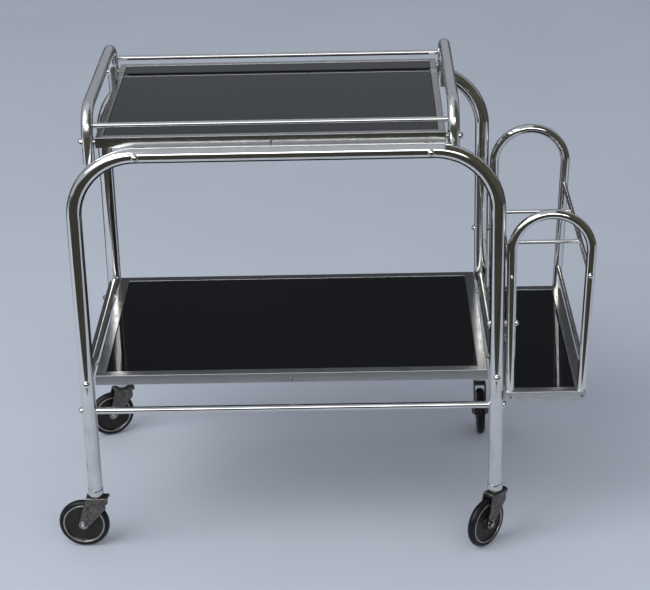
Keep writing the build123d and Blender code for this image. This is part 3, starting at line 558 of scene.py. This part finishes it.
tyre_low, tyre_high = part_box("front_left_tyre")
WHEEL_R = (tyre_high.z - tyre_low.z) / 2
TREAD_HALF, TREAD_RISE, TREAD_STEPS = 6.25 * MM, 4.3 * MM, 8  # half the tyre's width, its crown
SEAT_R, SEAT_HALF = 32.25 * MM, 6.0 * MM  # where the tyre sits on the rim
FORK_HALF = 10 * MM
tread_r = (TREAD_HALF**2 + TREAD_RISE**2) / (2 * TREAD_RISE)
tread_turn = math.asin(TREAD_HALF / tread_r)
tyre = [(SEAT_R, -SEAT_HALF), (SEAT_R + 0.5 * MM, -TREAD_HALF)]
for step in range(2 * TREAD_STEPS + 1):
    a = tread_turn * (step / TREAD_STEPS - 1)
    tyre.append((WHEEL_R - tread_r * (1 - math.cos(a)), tread_r * math.sin(a)))
tyre += [(SEAT_R + 0.5 * MM, TREAD_HALF), (SEAT_R, SEAT_HALF)]


def both_sides(half):
    """A closed profile in metres from one side's (radius, half thickness) pairs in millimetres."""
    near = [(r * MM, -h * MM) for r, h in half]
    return near + [(r * MM, h * MM) for r, h in reversed(half)]


half_rim = [(29.0, 4.7), (29.2, 5.5), (29.7, 6.0), (30.5, 6.15), (31.4, 6.05), (32.0, 5.75)]
half_rim += [(32.2, 5.2)]
half_web = [(4.1, 7.7), (7.5, 7.7), (9.0, 6.9), (9.4, 4.4), (10.6, 3.0), (13.0, 2.5)]
half_web += [(22.5, 2.5), (25.5, 2.8), (27.6, 3.5), (29.1, 4.8)]
WHEEL_PARTS = (
    ("tread", tyre, RUBBER, "tyre_rubber", "tyre"),
    ("rim", both_sides(half_rim), RIM, "wheel_disc", "wheel_disc"),
    ("web", both_sides(half_web), PAINT, "wheel_disc", "wheel_disc"),
)
for corner in CORNERS:
    hub = facing(middle(f"{corner}_tyre"), Vector(JOINTS[f"{corner}_roll"]["axis"]))
    body = f"{corner}_wheel"
    for label, profile, material, slot, node in WHEEL_PARTS:
        bm = bmesh.new()
        spin_into(bm, profile, hub, 96)
        mesh_piece(f"{corner}_{label}", bm, material, body, [f"{corner}_{node}"], 50)

# Each end of an axle, outward from the fork: a bevelled washer, a hexagonal nut and the stud's tip.
NUT_R, NUT_T, STUD_R = 5.4 * MM, 2.6 * MM, 3.6 * MM
WASHER_R, WASHER_T, WASHER_SINK = 6.5 * MM, 0.9 * MM, 1.5 * MM
nut_top = WASHER_T + NUT_T
washer = [(0, -WASHER_SINK), (WASHER_R - 0.3 * MM, -WASHER_SINK), (WASHER_R, 0.5 * WASHER_T)]
washer += [(WASHER_R - 0.3 * MM, WASHER_T), (0, WASHER_T)]
nut = [(0, 0), (NUT_R, 0), (NUT_R, nut_top - 0.5 * MM), (NUT_R - 0.6 * MM, nut_top), (0, nut_top)]
stud = [(0, 0), (STUD_R, 0), (STUD_R, nut_top + 0.2 * MM), (STUD_R - 0.5 * MM, nut_top + 0.7 * MM)]
stud += [(0, nut_top + 0.9 * MM)]
for corner in CORNERS:
    axis = Vector(JOINTS[f"{corner}_roll"]["axis"])
    centre = middle(f"{corner}_tyre")
    washers, nuts = bmesh.new(), bmesh.new()
    for sign in (1, -1):
        seat = facing(centre + axis * sign * FORK_HALF, axis * sign)
        spin_into(washers, washer, seat, 40)
        spin_into(nuts, nut, seat, 6)
        spin_into(washers, stud, seat, 28)
    caster = f"{corner}_caster"
    mesh_piece(f"{corner}_axle_washers", washers, WASHER, caster, [f"{corner}_axle"], 30)
    mesh_piece(f"{corner}_axle_nuts", nuts, AXLE, caster, [f"{corner}_axle"], 20)

# ---------------------------------------------------------------- carried-over CAD nodes
FINISHES = {
    "fastener": BOLT,
    "plain_steel": ZINC,
    "nickel_channel": SHEET,
    "black_glass": GLASS,
    "chrome_tube": CHROME_HIGH,
    "handle_tube": HANDLE,
    "fork_steel": FORK,
    "tyre_rubber": RUBBER,
    "wheel_disc": PAINT,
}
DARK_NODES = ("rack_frame_screws", "shelf_screws", "tray_screws")  # tarnished small screws
SLOTS = {entry["node"]: entry["material_slot"] for entry in frame["record"]["subparts"]}
for name, node in NODES.items():
    node.data.materials.clear()
    node.data.materials.append(SCREW if name in DARK_NODES else FINISHES[SLOTS[name]])


# ---------------------------------------------------------------- stage
def stage_plane(name, corners, material, mirror_only=False):
    """A flat card; one that is mirror_only is seen in reflections and nowhere else."""
    mesh = bpy.data.meshes.new(name)
    mesh.from_pydata(corners, [], [(0, 1, 2, 3)])
    mesh.materials.append(material)
    obj = bpy.data.objects.new(name, mesh)
    bpy.context.scene.collection.objects.link(obj)
    if mirror_only:
        obj.visible_camera = False
        obj.visible_diffuse = False
        obj.visible_shadow = False


def glow(name, low, high, scale):
    """A softly mottled self-lit material, for the cards that are seen in reflections."""
    material = bpy.data.materials.new(name)
    material.use_nodes = True
    tree = material.node_tree
    tree.nodes.clear()
    emit = tree.nodes.new("ShaderNodeEmission")
    ramp = tree.nodes.new("ShaderNodeMix")
    ramp.data_type = "RGBA"
    ramp.inputs[6].default_value = (*low, 1)
    ramp.inputs[7].default_value = (*high, 1)
    cloud = tree.nodes.new("ShaderNodeTexNoise")
    cloud.inputs["Scale"].default_value = scale
    coords = tree.nodes.new("ShaderNodeTexCoord")
    tree.links.new(coords.outputs["Object"], cloud.inputs["Vector"])
    tree.links.new(cloud.outputs["Fac"], ramp.inputs[0])
    tree.links.new(ramp.outputs[2], emit.inputs[0])
    out = tree.nodes.new("ShaderNodeOutputMaterial")
    tree.links.new(emit.outputs[0], out.inputs["Surface"])
    return material


floor_nodes = Nodes("floor_cloth")
weave = floor_nodes.noise(3, 3, 0.5)
floor_nodes.set(Base_Color=floor_nodes.mix(weave, (0.520, 0.545, 0.600), (0.575, 0.600, 0.655)))
floor_nodes.set(Roughness=0.9, Specular_IOR_Level=0.0)
floor_nodes.bump(floor_nodes.noise(700, 2, 0.5), 0.05, 0.0005)
FLOOR = 30.0  # half the floor's width
floor = [(-FLOOR, -FLOOR, 0), (FLOOR, -FLOOR, 0), (FLOOR, FLOOR, 0), (-FLOOR, FLOOR, 0)]
stage_plane("floor", floor, floor_nodes.material)


def upright(name, half_width, y, bottom, top, material):
    """A reflection card that stands across the view."""
    corners = [(-half_width, y, bottom), (half_width, y, bottom)]
    corners += [(half_width, y, top), (-half_width, y, top)]
    stage_plane(name, corners, material, mirror_only=True)


# The dark ground and far side in front of the trolley, which the chrome's dark bands mirror.
dark_yard = glow("dark_yard", (0.004, 0.004, 0.0035), (0.094, 0.093, 0.080), 3.5)
YARD_X, YARD_FAR, YARD_NEAR, YARD_Z = 8, -9, MID_Y - 0.72, 0.004
ground = [(-YARD_X, YARD_FAR, YARD_Z), (YARD_X, YARD_FAR, YARD_Z)]
ground += [(YARD_X, YARD_NEAR, YARD_Z), (-YARD_X, YARD_NEAR, YARD_Z)]
stage_plane("yard_ground", ground, dark_yard, mirror_only=True)
upright("yard_wall", YARD_X, -4.2, 0, 1.55, dark_yard)

# A pale backdrop, seen only in reflections; its darker lower part is painted shade for the shadowed lower wall
# behind the trolley.
WALL_X, WALL_Y, WALL_SPLIT, WALL_TOP = 3, MID_Y + 0.62, 0.73, 1.9
cloth_wall = glow("cloth_wall", (0.25, 0.265, 0.295), (0.38, 0.40, 0.44), 1.2)
cloth_painted_shade = glow("cloth_painted_shade", (0.045, 0.048, 0.055), (0.085, 0.090, 0.100), 1.2)
upright("cloth_wall_painted_shade", WALL_X, WALL_Y, 0, WALL_SPLIT, cloth_painted_shade)
upright("cloth_wall_high", WALL_X, WALL_Y, WALL_SPLIT, WALL_TOP, cloth_wall)

# Dark leaves to the right and overhead.
trees = glow("trees", (0.002, 0.002, 0.001), (0.150, 0.146, 0.112), 3.0)
TREES_X, TREES_IN, TREES_FAR, TREES_NEAR, TREES_TOP = 2.3, 0.9, -5, 1.0, 3.2
beside = [(TREES_X, TREES_FAR, 0), (TREES_X, TREES_NEAR, 0)]
beside += [(TREES_X, TREES_NEAR, TREES_TOP), (TREES_X, TREES_FAR, TREES_TOP)]
stage_plane("trees_right", beside, trees, mirror_only=True)
overhead = [(TREES_IN, TREES_FAR, TREES_TOP), (TREES_X, TREES_FAR, TREES_TOP)]
overhead += [(TREES_X, TREES_NEAR, TREES_TOP), (TREES_IN, TREES_NEAR, TREES_TOP)]
stage_plane("trees_above", overhead, trees, mirror_only=True)


def area_light(name, place, target, size, power, colour):
    """A rectangular light at place, turned to target; size in metres, power in watts."""
    light = bpy.data.lights.new(name, "AREA")
    light.shape = "RECTANGLE"
    light.size, light.size_y = size
    light.energy = power
    light.color = colour
    obj = bpy.data.objects.new(name, light)
    obj.location = place
    obj.rotation_euler = (Vector(target) - Vector(place)).to_track_quat("-Z", "Y").to_euler()
    bpy.context.scene.collection.objects.link(obj)


area_light("key", (-2.2, -1.6, 3.0), (0, 0, 0.3), (2.6, 2.6), 80, (0.94, 0.97, 1.0))
area_light("front_sky", (0.3, -4.0, 2.6), (0, 0, 0.5), (5.0, 0.9), 60, (0.97, 0.98, 1.0))

world = bpy.data.worlds.new("sky")
bpy.context.scene.world = world
world.use_nodes = True
sky = world.node_tree.nodes["Background"]
sky.inputs["Color"].default_value = (0.57, 0.61, 0.68, 1)
sky.inputs["Strength"].default_value = 0.80

# ---------------------------------------------------------------- camera
AZIMUTH_DEG, DIP_DEG, ROLL_DEG = 1.18, 23.72, -1.44
CAMERA_X, CAMERA_Y, CAMERA_Z = MID_X + 0.1056, MID_Y - 2.7699, 1.5445
SENSOR_MM, LENS_MM = 36, 108.77
azimuth, dip, roll = (math.radians(value) for value in (AZIMUTH_DEG, DIP_DEG, ROLL_DEG))
ahead = Vector((-math.sin(azimuth) * math.cos(dip), math.cos(azimuth) * math.cos(dip), -math.sin(dip)))
right = Vector((math.cos(azimuth), math.sin(azimuth), 0))
above = right.cross(ahead)
level_right = right * math.cos(roll) + above * math.sin(roll)
level_up = above * math.cos(roll) - right * math.sin(roll)
camera = bpy.data.objects.new("camera", bpy.data.cameras.new("camera"))
bpy.context.scene.collection.objects.link(camera)
turn = Matrix((level_right, level_up, -ahead)).transposed().to_4x4()
camera.matrix_world = Matrix.Translation(Vector((CAMERA_X, CAMERA_Y, CAMERA_Z))) @ turn
camera.data.sensor_width = SENSOR_MM
camera.data.lens = LENS_MM
camera.data.clip_end = 100
bpy.context.scene.camera = camera
bpy.context.scene.view_settings.view_transform = "Standard"
